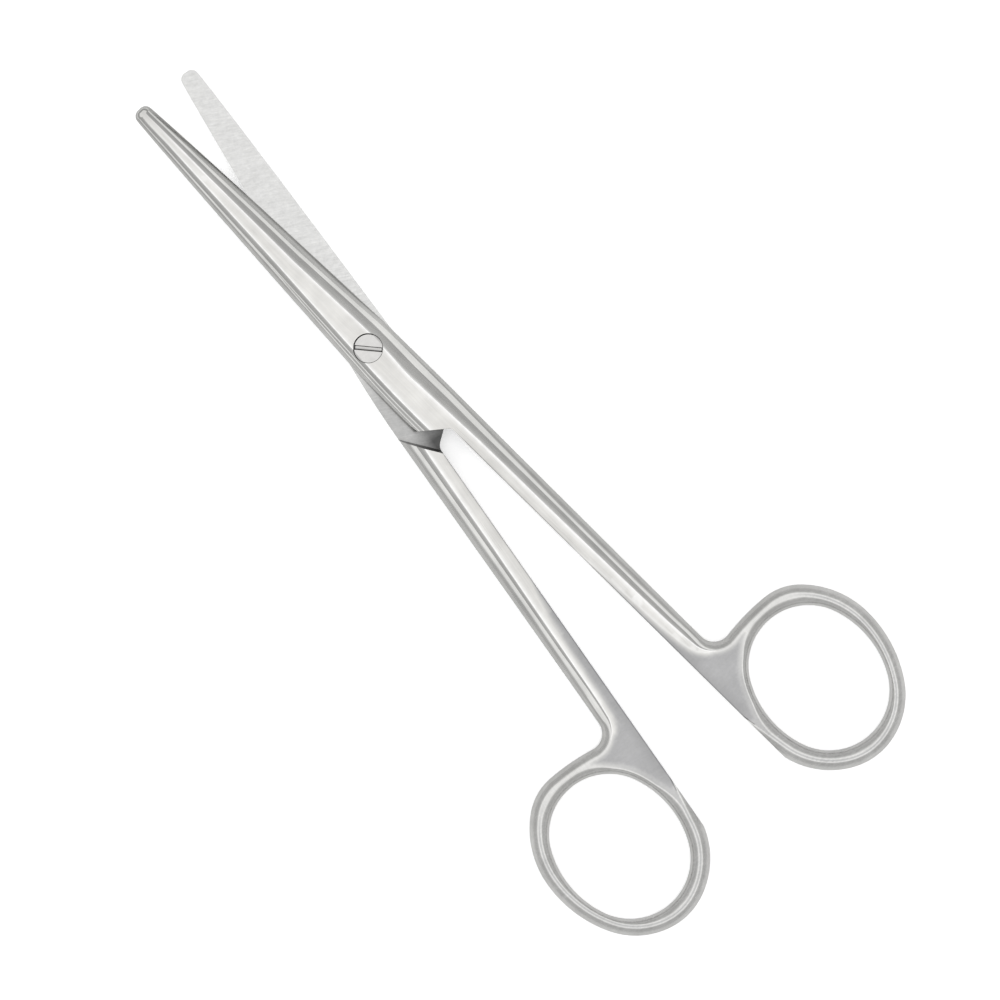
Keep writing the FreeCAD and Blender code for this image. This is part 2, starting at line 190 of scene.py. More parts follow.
def outline(name, offset):
    """Table of the closed outline, walked with the steel on the left."""
    near, run = REACH - 1.2, 0.4
    sides, behind = plan_sides(near, offset), plan_sides(near - run, offset)
    slopes = [(end - start) / run for start, end in zip(behind, sides)]
    outer_c, outer_p = tip_corner(np.array([near, sides[0]]), slopes[0], 1.0)
    spine_c, spine_p = tip_corner(np.array([near, sides[1]]), slopes[1], -1.0)
    rim = rim_points(offset)
    before_tip, beside_ring, before_ring = 0.05, 0.7, 0.6
    spine_x = np.linspace(rim[-1][0] + beside_ring, spine_p[0] - before_tip, 170)
    spine = np.stack([spine_x, plan_sides(spine_x, offset)[1]], axis=1)
    outer_x = np.linspace(outer_p[0] - before_tip, SHANK_END + before_ring, 185)
    outer = np.stack([outer_x, plan_sides(outer_x, offset)[0]], axis=1)
    spine_turn = 90.0 - math.degrees(math.atan(slopes[1]))
    outer_turn = 90.0 + math.degrees(math.atan(slopes[0]))
    tip = np.concatenate([arc_points(spine_c, spine_p, spine_turn, TIP_STEPS),
                          arc_points(outer_c, outer_c + (TIP_R, 0.0), outer_turn, TIP_STEPS)])
    points = np.concatenate([spine, tip, outer, rim])
    x = points[:, 0]
    on_spine = np.arange(len(points)) < len(spine) + TIP_STEPS + 1
    front = along_x(BLADE_FLANK + SHANK_FLANK[name], x)
    back = along_x(SPINE_FLANK, x)
    flank, shelf, rise = [np.where(on_spine, b, f) for b, f in zip(back, front)]
    keen_from, keen_fade, keen_roundness = 14.0, 24.0, 0.35
    keen = np.where(on_spine, 0.0, 1.0 - ease((keen_from - x) / keen_fade))
    wave_from, wave_fade = 30.0, 25.0
    wave = np.where(on_spine, ease((wave_from - x) / wave_fade), 0.0)
    roundness = mix(1.0, keen_roundness, keen)
    table = finish_table(points, half_thickness(x), flank, shelf, rise, roundness, wave)
    blend_run(table, len(spine) + TIP_STEPS // 2, 9, ("flank", "shelf", "rise", "roundness"))
    from_tip = np.abs(np.arange(len(points)) - (len(spine) + TIP_STEPS + 0.5))
    at_nose, past_nose, widening = 0.72, 0.95, 0.22
    nose = mix(at_nose, past_nose, ease(from_tip / TIP_STEPS))
    side = past_nose + widening * (from_tip - TIP_STEPS)
    table["flank"] = np.minimum(table["flank"], np.where(from_tip < TIP_STEPS, nose, side))
    table["height"] = half_thickness(land_loop(table)[:, 0])
    return table


def finish_table(points, height, flank, shelf, rise, roundness, wave):
    ahead = np.roll(points, -1, axis=0) - np.roll(points, 1, axis=0)
    ahead /= np.linalg.norm(ahead, axis=1)[:, None]
    ones = np.ones(len(points))
    return {"point": points, "inward": np.stack([-ahead[:, 1], ahead[:, 0]], axis=1),
            "height": height * ones, "flank": flank * ones, "shelf": shelf * ones, "rise": rise * ones,
            "roundness": roundness * ones, "wave": wave * ones}


def land_loop(table):
    """The outline moved in past the flank and the first strip of the flat."""
    return table["point"] + table["inward"] * (table["flank"] + LAND)[:, None]


def blend_run(table, middle, half, names):
    """Ease some columns from one value to another round a place in the closed outline."""
    count = len(table["point"])
    span = np.arange(middle - half, middle + half + 1)
    for name in names:
        column = table[name]
        start, end = column[span[0] % count], column[span[-1] % count]
        column[span % count] = mix(start, end, ease((span - span[0]) / (2.0 * half)))


def hole_outline(offset, rim):
    """The finger hole, an oval of four arcs; its bevel is as wide as the ring allows."""
    short, end_r = HOLE_HALF_WIDTH, HOLE_END_R
    out = HOLE_HALF_LENGTH - end_r
    side_r = (out ** 2 + short ** 2 - end_r ** 2) / (2.0 * (short - end_r))
    lean = math.degrees(math.atan2(out, side_r - short))
    towards = np.array([math.sin(math.radians(lean)), -math.cos(math.radians(lean))])
    start = np.array([out, 0.0]) + end_r * towards
    points = []
    for k in range(2):
        centre = np.array([out, 0.0]) * (1 - 2 * k)
        points += list(arc_points(centre, start, 180.0 - 2.0 * lean, 90)[:-1])
        start = arc_points(centre, start, 180.0 - 2.0 * lean, 1)[-1]
        centre = np.array([0.0, (short - side_r) * (1 - 2 * k)])
        points += list(arc_points(centre, start, 2.0 * lean, 40)[:-1])
        start = arc_points(centre, start, 2.0 * lean, 1)[-1]
    angle = math.radians(HOLE_LEAN)
    turn = np.array([[math.cos(angle), math.sin(angle)], [-math.sin(angle), math.cos(angle)]])
    points = (np.array(points) @ turn + (HOLE_PLACE[0], offset + HOLE_PLACE[1])) * (-1.0, 1.0)
    wall = distance_to(points, rim["point"])
    crest, narrowest, widest = 0.46, 0.7, 1.7
    flank = np.clip(wall - RIM_FLANK - crest, narrowest, widest)
    beside_web, web_wall, web_fade = 1.15, 3.6, 2.0
    flank = mix(flank, beside_web, ease((wall - web_wall) / web_fade))
    return finish_table(points, RING_HALF, flank, 0.9, 1.0, 1.0, 0.0)


def distance_to(points, line, closed=True):
    """Distance of each point to a run of straight pieces."""
    pieces = list(zip(line, np.roll(line, -1, axis=0)))
    best = np.full(len(points), FAR)
    for a, b in pieces if closed else pieces[:-1]:
        along = b - a
        t = np.clip(((points - a) @ along) / max(along @ along, 1e-12), 0.0, 1.0)
        best = np.minimum(best, np.linalg.norm(points - a - t[:, None] * along, axis=1))
    return best


rims = {name: outline(name, offset) for name, offset in PARTING_AT.items()}
print("points round a half:", len(rims["upper"]["point"]))

# %% [markdown]
# ## A flat sheet that knows its shape
# Forging steel starts from a flat blank, and so does this mesh. Strips of faces follow the
# outline inwards: foot, rounded side, shoulder, hollow and a narrow land. What is left in
# the middle is the ground facet and the web, filled by a triangulation that keeps the
# facet's edges as edges. Nothing is raised yet: each point only carries named numbers.

# %% Rows of the strip, and the flat field inside it
ROWS = [(1, 0.0, 0.0, 0.0, 0.0, 0.0)]
ROWS += [(0, k / 9.0, 0.0, 0.0, 0.0, 0.0) for k in range(10)]
ROWS += [(0, 1.0, k / 4.0, 0.0, 0.0, 0.0) for k in range(1, 5)]
# The last number of a row is its painted highlight, strongest on the ridge's own row
ROWS += [(0, 1.0, 1.0, k / 7.0, 0.0, 0.25 * (k == 6) + 1.0 * (k == 7)) for k in range(1, 8)]
ROWS += [(0, 1.0, 1.0, 1.0, LAND, LAND_HIGHLIGHT)]
COLUMNS = ("foot", "arc_share", "shelf_share", "rise_share", "beyond", "ridge_highlight")
TABLE_FIELDS = ("height", "flank", "shelf", "rise", "roundness", "wave")
GRID, GRID_CLEAR = 0.55, 0.25    # spacing of the points inside, and how near a line they may come


def facet_line(name, offset):
    """Where the shank's bright facet ends and the web's own plane begins."""
    rows = np.array(FACET_ENDS[name])
    fine = np.linspace(0.0, len(rows) - 1.0, 8 * len(rows) - 7)
    return np.stack([np.interp(fine, range(len(rows)), rows[:, 0]),
                     offset + np.interp(fine, range(len(rows)), rows[:, 1])], axis=1)


def inside(points, loop):
    """Which points lie inside a closed loop."""
    hit = np.zeros(len(points), bool)
    for a, b in zip(loop, np.roll(loop, -1, axis=0)):
        if a[1] != b[1]:
            crosses = (a[1] > points[:, 1]) != (b[1] > points[:, 1])
            hit ^= crosses & (points[:, 0] < (b[0] - a[0]) * (points[:, 1] - a[1]) / (b[1] - a[1]) + a[0])
    return hit


def web_depth(points, offset, rim, hole, line):
    """Distance in from the crests that frame the web; nothing on the blade and the facet."""
    ridge = rim["point"] + rim["inward"] * rim["flank"][:, None]
    on_ring = (ridge[:, 0] < line[-1, 0]) & (ridge[:, 1] > offset + 0.3)
    depth = distance_to(points, np.concatenate([line, ridge[on_ring]]), closed=False)
    hole_ridge = hole["point"] + hole["inward"] * hole["flank"][:, None]
    depth = np.minimum(depth, distance_to(points, hole_ridge))
    border = np.interp(points[:, 0], line[::-1, 0], line[::-1, 1], left=FAR, right=-FAR)
    return np.where(points[:, 1] < border, depth, 0.0)


def strip(table):
    """Points, faces and numbers of the strip behind one closed outline."""
    count = len(table["point"])
    numbers = {name: np.tile(table[name], len(ROWS)) for name in TABLE_FIELDS}
    for k, name in enumerate(COLUMNS):
        numbers[name] = np.repeat([row[k] for row in ROWS], count).astype(float)
    points = np.tile(table["point"], (len(ROWS), 1))
    inward = np.tile(table["inward"], (len(ROWS), 1))
    faces = []
    for row in range(len(ROWS) - 1):
        for i in range(count):
            j = (i + 1) % count
            low, high = row * count, (row + 1) * count
            faces.append((low + i, low + j, high + j, high + i))
    return points, inward, faces, numbers


def field(offset, rim, hole, line):
    """Triangles between the strips; the facet's lower edge is kept as an edge."""
    outer, inner = land_loop(rim), land_loop(hole)
    x, v = np.meshgrid(np.arange(-111.0, REACH, GRID), np.arange(-5.0, 36.0, GRID) + offset)
    shift, pitch = 0.13, 9.0
    grid = np.stack([x.ravel() + shift * np.sin(v.ravel() * pitch), v.ravel()], axis=1)
    grid = grid[inside(grid, outer) & ~inside(grid, inner)]
    for loop in (outer, inner, line):
        grid = grid[distance_to(grid, loop) > GRID_CLEAR]
    points = np.concatenate([outer, inner, line, grid])
    edges = []
    start = 0
    for loop, closed in ((outer, True), (inner, True), (line, False)):
        count = len(loop)
        edges += [(start + i, start + (i + 1) % count) for i in range(count if closed else count - 1)]
        start += count
    found = delaunay_2d_cdt([Vector(p) for p in points], edges, [], 1, 1e-6)
    points = np.array([tuple(p) for p in found[0]])
    faces = np.array(found[2])
    return points, faces[~inside(points[faces].mean(axis=1), inner)]


def keep_vectors(mesh, label, vectors):
    """One vector for each point, under a name that nodes can read."""
    layer = mesh.attributes.new(label, "FLOAT_VECTOR", "POINT")
    layer.data.foreach_set("vector", vectors.astype(np.float32).ravel())


def forging_sheet(name, offset, rim, hole):
    """The flat sheet of one half as a mesh, every number kept as a named attribute."""
    line = facet_line(name, offset)
    parts = [strip(rim), strip(hole)]
    points, faces = field(offset, rim, hole, line)
    blank = {label: np.ones(len(points)) for label in TABLE_FIELDS + COLUMNS}
    # Painted highlight on the flat near the outer ridges, less on the blade, and along the facet's end line
    highlight_strip, web_start = 0.75, -74.0
    ridge_highlight = ease(1.0 - distance_to(points, land_loop(rim)) / highlight_strip) * (points[:, 0] > web_start)
    on_shank, on_blade, joint = 0.85, 0.3, 8.0
    ridge_highlight *= LAND_HIGHLIGHT * mix(on_shank, on_blade, ease((points[:, 0] + joint) / (2.0 * joint)))
    on_line = distance_to(points, line) < 0.01
    blank.update({"height": half_thickness(points[:, 0]), "foot": 0.0 * blank["foot"],
                  "beyond": 0.0 * blank["foot"],
                  "ridge_highlight": np.maximum(ridge_highlight, FACET_END_HIGHLIGHT[name] * on_line)})
    parts.append((points, np.zeros_like(points), [tuple(int(i) for i in f) for f in faces], blank))
    all_points, all_inward, all_faces = [], [], []
    numbers = {field_name: [] for field_name in TABLE_FIELDS + COLUMNS}
    start = 0
    for points, inward, faces, columns in parts:
        all_points.append(points)
        all_inward.append(inward)
        all_faces += [tuple(i + start for i in f) for f in faces]
        for field_name in numbers:
            numbers[field_name].append(columns[field_name])
        start += len(points)
    numbers = {field_name: np.concatenate(column) for field_name, column in numbers.items()}
    points, inward = np.concatenate(all_points), np.concatenate(all_inward)
    at = points + inward * (numbers["flank"] + numbers["beyond"])[:, None]
    flat = (numbers["beyond"] > 0.0) | (np.abs(inward).sum(axis=1) == 0.0)
    numbers["depth_in"] = web_depth(at, offset, rim, hole, line) * flat
    web_edge, web_fade = 0.02, 1.1
    numbers["web"] = ease((numbers["depth_in"] - web_edge) / web_fade)
    numbers["facet"] = (numbers["rise_share"] == 1.0) * (1.0 - numbers["web"])
    mesh = bpy.data.meshes.new(name)
    mesh.from_pydata([(p[0], p[1], 0.0) for p in points], [], all_faces)
    for field_name, column in numbers.items():
        layer = mesh.attributes.new(field_name, "FLOAT", "POINT")
        layer.data.foreach_set("value", column.astype(np.float32))
    keep_vectors(mesh, "inward", np.column_stack([inward, np.zeros(len(points))]))
    mesh.update()
    return mesh


sheets = {}
for name, offset in PARTING_AT.items():
    hole = hole_outline(offset, rims[name])
    sheets[name] = forging_sheet(name, offset, rims[name], hole)
    print(name, "sheet:", len(sheets[name].vertices), "points,", len(sheets[name].polygons), "faces")

# %% [markdown]
# ## Raising the sheet with Geometry Nodes
# The whole forging follows one rule: from the side's foot up a rounding, over a shoulder,
# through a hollow and onto the flat. Sculpting it would lose the crisp ridges, so the rule
# is a Geometry Nodes tree. It reads each point's numbers, moves the point to its place, and
# lays a mirrored copy below, because the drop hammer's two dies are mirror images.

# %% Helpers for building node trees
def new_tree(name, sockets):
    """Geometry Nodes tree with a geometry socket each way and named inputs."""
    tree = bpy.data.node_groups.new(name, "GeometryNodeTree")
    tree.interface.new_socket("Geometry", in_out="INPUT", socket_type="NodeSocketGeometry")
    for label, kind, value in sockets:
        socket = tree.interface.new_socket(label, in_out="INPUT", socket_type=kind)
        if value is not None:
            socket.default_value = value
    tree.interface.new_socket("Geometry", in_out="OUTPUT", socket_type="NodeSocketGeometry")
    return tree, tree.nodes.new("NodeGroupInput"), tree.nodes.new("NodeGroupOutput")


def put(tree, socket, value):
    if isinstance(value, (int, float, tuple)):
        socket.default_value = value
    else:
        tree.links.new(value, socket)


def calc(tree, operation, *values):
    node = tree.nodes.new("ShaderNodeMath")
    node.operation = operation
    for socket, value in zip(node.inputs, values):
        put(tree, socket, value)
    return node.outputs[0]


def blend(tree, a, b, share):
    """a + (b - a) * share"""
    return calc(tree, "MULTIPLY_ADD", calc(tree, "SUBTRACT", b, a), share, a)


def named(tree, label, kind="FLOAT"):
    node = tree.nodes.new("GeometryNodeInputNamedAttribute")
    node.data_type = kind
    node.inputs["Name"].default_value = label
    return node.outputs[0]


def step(tree, kind, geometry, **inputs):
    """A geometry node fed with geometry; other inputs are named with underscores for spaces."""
    node = tree.nodes.new(kind)
    tree.links.new(geometry, node.inputs[0])
    for label, value in inputs.items():
        put(tree, node.inputs[label.replace("_", " ")], value)
    return node.outputs[0]


def run_tree(mesh, tree, name, values):
    """Evaluate the tree on a mesh and hand back the result as a plain mesh."""
    carrier = bpy.data.objects.new(name, mesh)
    bpy.context.scene.collection.objects.link(carrier)
    modifier = carrier.modifiers.new(tree.name, "NODES")
    modifier.node_group = tree
    for item in tree.interface.items_tree:
        if item.in_out == "INPUT" and item.name in values:
            modifier[item.identifier] = values[item.name]
    graph = bpy.context.evaluated_depsgraph_get()
    result = bpy.data.meshes.new_from_object(carrier.evaluated_get(graph), preserve_all_data_layers=True,
                                             depsgraph=graph)
    carrier.modifiers.remove(modifier)
    bpy.data.objects.remove(carrier)
    result.name = name
    return result


# %% The rule of the forging
def forging_tree():
    tree, given, result = new_tree("raise_forging", [
        ("Side Sweep", "NodeSocketFloat", math.radians(70.0)), ("Foot Height", "NodeSocketFloat", 0.08),
        ("Shelf Slope", "NodeSocketFloat", 0.17), ("Rise Slope", "NodeSocketFloat", 0.44),
        ("Rise Crown", "NodeSocketFloat", 0.32), ("Spine Wave", "NodeSocketFloat", 0.045),
        ("Web Depth", "NodeSocketFloat", 0.24), ("Web Reach", "NodeSocketFloat", 2.6),
        ("Weld", "NodeSocketFloat", 0.0008), ("Steel", "NodeSocketMaterial", None)])
    read = {label: named(tree, label) for label in
            ("height", "flank", "shelf", "rise", "roundness", "wave", "foot", "arc_share", "shelf_share",
             "rise_share", "beyond", "depth_in")}

    def part(a, b):
        return calc(tree, "MULTIPLY", a, b)

    def less(a, b):
        return calc(tree, "SUBTRACT", a, b)

    shelf_end = less(read["height"], part(part(less(1.0, read["rise"]), read["flank"]),
                                          given.outputs["Rise Slope"]))
    shelf_start = less(shelf_end, part(part(less(read["rise"], read["shelf"]), read["flank"]),
                                       given.outputs["Shelf Slope"]))
    sweep = given.outputs["Side Sweep"]
    angle = part(read["arc_share"], sweep)
    across = calc(tree, "DIVIDE", less(1.0, calc(tree, "COSINE", angle)),
                  less(1.0, calc(tree, "COSINE", sweep)))
    upright = calc(tree, "DIVIDE", calc(tree, "SINE", angle), calc(tree, "SINE", sweep))
    arc_inset = part(across, part(read["shelf"], read["flank"]))
    arc_share = blend(tree, across, upright, read["roundness"])
    arc_z = blend(tree, given.outputs["Foot Height"], shelf_start, arc_share)
    inset = blend(tree, blend(tree, arc_inset, part(read["rise"], read["flank"]), read["shelf_share"]),
                  read["flank"], read["rise_share"])

    def crowned(share, crown):
        return calc(tree, "MULTIPLY_ADD", part(share, less(1.0, share)), crown, share)

    shelf_z = part(less(shelf_end, shelf_start), crowned(read["shelf_share"], 0.3))
    rise_z = part(less(read["height"], shelf_end), crowned(read["rise_share"], given.outputs["Rise Crown"]))
    ripple = part(part(calc(tree, "SINE", part(read["shelf_share"], 2.0 * math.pi)), read["wave"]),
                  given.outputs["Spine Wave"])
    level = less(calc(tree, "ADD", arc_z, calc(tree, "ADD", shelf_z, rise_z)), ripple)
    reach = calc(tree, "MINIMUM", calc(tree, "DIVIDE", read["depth_in"], given.outputs["Web Reach"]), 1.0)
    level = less(level, part(crowned(reach, 1.0), given.outputs["Web Depth"]))
    level = part(level, less(1.0, read["foot"]))
    inset = calc(tree, "ADD", inset, read["beyond"])
    move = tree.nodes.new("ShaderNodeVectorMath")
    move.operation = "SCALE"
    put(tree, move.inputs[0], named(tree, "inward", "FLOAT_VECTOR"))
    put(tree, move.inputs["Scale"], inset)
    rise = tree.nodes.new("ShaderNodeCombineXYZ")
    put(tree, rise.inputs["Z"], level)
    whole = tree.nodes.new("ShaderNodeVectorMath")
    put(tree, whole.inputs[0], move.outputs[0])
    put(tree, whole.inputs[1], rise.outputs[0])
    raised = step(tree, "GeometryNodeSetPosition", given.outputs["Geometry"], Offset=whole.outputs[0])
    under = step(tree, "GeometryNodeTransform", raised, Scale=(1.0, 1.0, -1.0))
    under = step(tree, "GeometryNodeFlipFaces", under)
    both = tree.nodes.new("GeometryNodeJoinGeometry")
    tree.links.new(raised, both.inputs[0])
    tree.links.new(under, both.inputs[0])
    welded = step(tree, "GeometryNodeMergeByDistance", both.outputs[0], Distance=given.outputs["Weld"])
    real = step(tree, "GeometryNodeRealizeInstances", welded)
    put(tree, result.inputs[0], step(tree, "GeometryNodeSetMaterial", real, Material=given.outputs["Steel"]))
    return tree


steel = bpy.data.materials.new("satin_steel")
lap_steel = bpy.data.materials.new("ground_lap")
screw_steel = bpy.data.materials.new("screw_steel")
forging = forging_tree()
blanks = {name: run_tree(sheet, forging, name + "_blank", {"Steel": steel}) for name, sheet in sheets.items()}
for name, mesh in blanks.items():
    top = max(v.co.z for v in mesh.vertices)
    print(name, "blank:", len(mesh.polygons), "faces, half thickness", round(top, 3), "mm")

# %% [markdown]
# ## Milling the lap, the heel and the screw's seat
# The real blank goes to a milling machine next: half its thickness is taken off under the
# lap, the other half's room is cut away behind the heel, and the seat is drilled and
# countersunk. Boolean modifiers do the same cuts here. Each cutter brings its own material,
# so the milled faces get the fine cross-ground finish that the die-forged faces don't have.

# %% The cutters
LAP_GAP, PARTING_GAP = 0.015, 0.02
HEAD_R, SHAFT_R, PLAY, HEAD_PLAY = 2.5, 1.6, 0.10, 0.11
HEEL_ANGLE, SHOULDER_ANGLE = 50.0, 41.0
# How far behind the heel each half's wall stands, and the radius of the root at its foot
HEEL_ROOM = {"upper": (0.0, 0.9), "lower": (1.0, 1.8)}
SHOULDER_PLAY, SHOULDER_LEAN = 0.16, 0.75
PAST = 60.0                  # well outside the steel on every side


def solid(name, points, faces, material):
    """A closed cutter with its faces turned outwards."""
    mesh = bpy.data.meshes.new(name)
    mesh.from_pydata(points, [], faces)
    mesh.materials.append(material)
    work = bmesh.new()
    work.from_mesh(mesh)
    bmesh.ops.recalc_face_normals(work, faces=work.faces)
    work.to_mesh(mesh)
    work.free()
    cutter = bpy.data.objects.new(name, mesh)
    bpy.context.scene.collection.objects.link(cutter)
    return cutter


def prism(name, loops, material):
    """A closed block between two loops of the same number of points."""
    count = len(loops[0])
    faces = [tuple(range(count)), tuple(range(2 * count - 1, count - 1, -1))]
    faces += [(i, (i + 1) % count, count + (i + 1) % count, count + i) for i in range(count)]
    return solid(name, [tuple(p) for loop in loops for p in loop], faces, material)


def lathe(name, profile, material, steps=96):
    """A turned solid from (radius, height) pairs that start and end on the axis."""
    rings = profile[1:-1]
    points = [(0.0, 0.0, profile[0][1]), (0.0, 0.0, profile[-1][1])]
    turns = [2.0 * math.pi * k / steps for k in range(steps)]
    for radius, z in rings:
        points += [(radius * math.cos(turn), radius * math.sin(turn), z) for turn in turns]
    faces = []
    for k in range(steps):
        j = (k + 1) % steps
        faces.append((0, 2 + j, 2 + k))
        last = 2 + (len(rings) - 1) * steps
        faces.append((1, last + k, last + j))
        for ring in range(len(rings) - 1):
            low = 2 + ring * steps
            faces.append((low + k, low + j, low + steps + j, low + steps + k))
    return solid(name, points, faces, material)


def room_for_other_half(offset, reach, root_radius):
    """Everything past the parting plane and behind the heel wall, its inner corner rounded."""
    slope = 1.0 / math.tan(math.radians(HEEL_ANGLE))

    def wall_x(w):
        return HEEL_X - reach - (w + HEEL_HALF) * slope

    corner = np.array([wall_x(PARTING_GAP), PARTING_GAP])
    up_wall = np.array([slope, -1.0]) / math.hypot(slope, 1.0)
    back = np.array([-1.0, 0.0])
    half = math.acos(up_wall @ back) / 2.0
    start = corner + up_wall * root_radius / math.tan(half)
    end = corner + back * root_radius / math.tan(half)
    middle = corner + (up_wall + back) / np.linalg.norm(up_wall + back) * root_radius / math.sin(half)
    angles = [math.atan2(*(p - middle)[::-1]) for p in (start, end)]
    sweep = (angles[1] - angles[0] + math.pi) % (2.0 * math.pi) - math.pi
    root = arc_points(middle, start, math.degrees(sweep), 12)
    behind_ring, above = -150.0, 6.0
    loop = [(wall_x(-PAST), -PAST)] + list(root) + [(behind_ring, PARTING_GAP), (behind_ring, -PAST)]
    return [[(x, w + offset, z) for x, w in loop] for z in (-above, above)]


def lap_room(offset, other_reach):
    """Everything under the lap, as far back as the shoulder wall, which leans back."""
    slope = 1.0 / math.tan(math.radians(SHOULDER_ANGLE))
    past_tip = 100.0
    rise = PAST * slope
    loops = []
    for fall in (0.0, 2.0):
        foot = HEEL_X - other_reach - SHOULDER_PLAY - fall * SHOULDER_LEAN - HEEL_HALF * slope
        loop = [(foot - rise, -PAST), (foot + rise, PAST), (past_tip, PAST), (past_tip, -PAST)]
        loops.append([(x, w + offset, LAP_GAP - fall * JOINT_HALF) for x, w in loop])
    return loops


def cut(mesh, steps):
    """Apply booleans one after another and return the plain mesh."""
    work = bpy.data.objects.new(mesh.name + "_work", mesh)
    bpy.context.scene.collection.objects.link(work)
    for operation, cutter in steps:
        modifier = work.modifiers.new(cutter.name, "BOOLEAN")
        modifier.operation = operation
        modifier.solver = "EXACT"
        modifier.material_mode = "TRANSFER"
        modifier.object = cutter
        graph = bpy.context.evaluated_depsgraph_get()
        result = bpy.data.meshes.new_from_object(work.evaluated_get(graph), preserve_all_data_layers=True,
                                                 depsgraph=graph)
        work.modifiers.clear()
        work.data = result
        bpy.data.objects.remove(cutter)
    bpy.data.objects.remove(work)
    return result


def seat_cuts(name):
    """The screw's seat: a countersunk clearance bore above, a threaded bore below."""
    if name == "lower":
        bore = [(0, -4.0), (SHAFT_R, -4.0), (SHAFT_R, 4.0), (0, 4.0)]
        return [("DIFFERENCE", lathe("thread_bore", bore, steel))]
    bore_r, mouth_r, cone_foot, cone_top = SHAFT_R + PLAY, HEAD_R + HEAD_PLAY, 1.10, 2.0
    seat = [(0, -1.0), (bore_r, -1.0), (bore_r, cone_foot), (mouth_r, cone_top), (mouth_r, 4.0), (0, 4.0)]
    cutter = lathe("seat", seat, steel)
    closest = 0.02
    cutter.data.transform(Matrix.Translation((PLAY - closest, 0.0, 0.0)))
    return [("DIFFERENCE", cutter)]


def milled(name, other):
    parting = room_for_other_half(PARTING_AT[name], *HEEL_ROOM[name])
    lap = lap_room(PARTING_AT[name], HEEL_ROOM[other][0])
    steps = [("DIFFERENCE", prism("parting", parting, lap_steel)),
             ("DIFFERENCE", prism("lap", lap, lap_steel))]
    return cut(blanks[name], steps + seat_cuts(name))


halves = {"upper": milled("upper", "lower"), "lower": milled("lower", "upper")}
for name, mesh in halves.items():
    print(name, "half after milling:", len(mesh.polygons), "faces")

# %% [markdown]
# ## Turning each half to its place
# The drawing so far is shut, in millimetres, about the joint's middle plane. The upper half
# is its mirror image in plan and the lower one is the same turned upside down. Both swing
# half the resting angle, and the mesh itself is moved so that the object stays at the origin.

# %% Place, smooth and mark the crisp edges
MM = 0.001                   # a millimetre in the scene's metres
WELD = 4e-7                  # corners nearer than this are one corner, in metres
CRISP, SCREW_CRISP = 16.0, 20.0


def carry_masks(blank, mesh, labels=("facet", "web", "ridge_highlight")):
    """Milling leaves its new corners without numbers: read them off the blank's surface there."""
    blank.calc_loop_triangles()
    corners = [tuple(t.vertices) for t in blank.loop_triangles]
    places = [v.co.copy() for v in blank.vertices]
    tree = BVHTree.FromPolygons(places, corners)
    values = np.zeros((len(labels), len(places)), np.float32)
    for row, label in zip(values, labels):
        blank.attributes[label].data.foreach_get("value", row)
    masks = [Vector(column) for column in values.T]
    read = np.zeros((len(mesh.vertices), len(labels)), np.float32)
    for k, vertex in enumerate(mesh.vertices):
        spot, _, index, _ = tree.find_nearest(vertex.co)
        a, b, c = corners[index]
        read[k] = barycentric_transform(spot, places[a], places[b], places[c],
                                        masks[a], masks[b], masks[c])
    for label, column in zip(labels, np.clip(read, 0.0, 1.0).T):
        mesh.attributes[label].data.foreach_set("value", column.copy())


def keep_plan(mesh, offset):
    """Each point's place in the drawing, with v from the parting plane, for the finishes."""
    drawn = np.array([v.co for v in mesh.vertices], np.float32) - (0.0, offset, 0.0)
    keep_vectors(mesh, "plan", drawn)


def to_rest(upper, scale):
    """What takes a half from the drawing to where it lies."""
    flip = Matrix.Diagonal((1.0, -1.0, 1.0, 1.0)) if upper else Matrix.Diagonal((1.0, 1.0, -1.0, 1.0))
    swing = Matrix.Rotation(math.radians(REST_ANGLE / 2.0 * (1 if upper else -1)), 4, "Z")
    return Matrix.Scale(scale, 4) @ swing @ Matrix.Translation((0.0, 0.0, JOINT_HALF)) @ flip


def mark_crisp(work, angle):
    """Smooth faces; an edge stays crisp where its faces meet at this angle or more."""
    for face in work.faces:
        face.smooth = True
    for edge in work.edges:
        edge.smooth = len(edge.link_faces) == 2 and edge.calc_face_angle() < math.radians(angle)


def placed(name, mesh):
    carry_masks(blanks[name], mesh)
    keep_plan(mesh, PARTING_AT[name])
    mesh.transform(to_rest(name == "upper", MM))
    work = bmesh.new()
    work.from_mesh(mesh)
    bmesh.ops.remove_doubles(work, verts=work.verts, dist=WELD)
    bmesh.ops.dissolve_degenerate(work, edges=work.edges, dist=WELD)
    bmesh.ops.recalc_face_normals(work, faces=work.faces)
    open_edges = sum(1 for e in work.edges if len(e.link_faces) != 2)
    mark_crisp(work, CRISP)
    milled_slots = [k for k, finish in enumerate(mesh.materials) if finish == lap_steel]
    is_lap = [int(face.material_index in milled_slots) for face in work.faces]
    work.to_mesh(mesh)
    work.free()
    mesh.materials.clear()
    mesh.materials.append(steel)
    mesh.materials.append(lap_steel)
    mesh.polygons.foreach_set("material_index", is_lap)
    half = bpy.data.objects.new(name + "_half_steel", mesh)
    bpy.context.scene.collection.objects.link(half)
    print(half.name, "faces", len(mesh.polygons), "of them milled", sum(is_lap), "open edges", open_edges)
    return half


steel_halves = {name: placed(name, mesh) for name, mesh in halves.items()}

# %% [markdown]
# ## The screw
# The screw is a turned piece: a short cylinder that spreads in a cone to a flat head, with
# a slot sawn across it. A cylinder primitive would miss the cone and the broken edges, so
# its profile is turned on the same lathe helper as the seat, and the slot is a boolean. The
# head is ground in place, so the blank of the upper half trims it where the facet ends.

# %% Screw with its slot
SLOT_ANGLE = math.radians(44.6)
# Half the slot's width at each height: the broken edge, the wall and the rounded foot
SLOT_SIDE = ((0.47, 5.2), (0.40, 4.93), (0.37, 4.42), (0.30, 4.35))


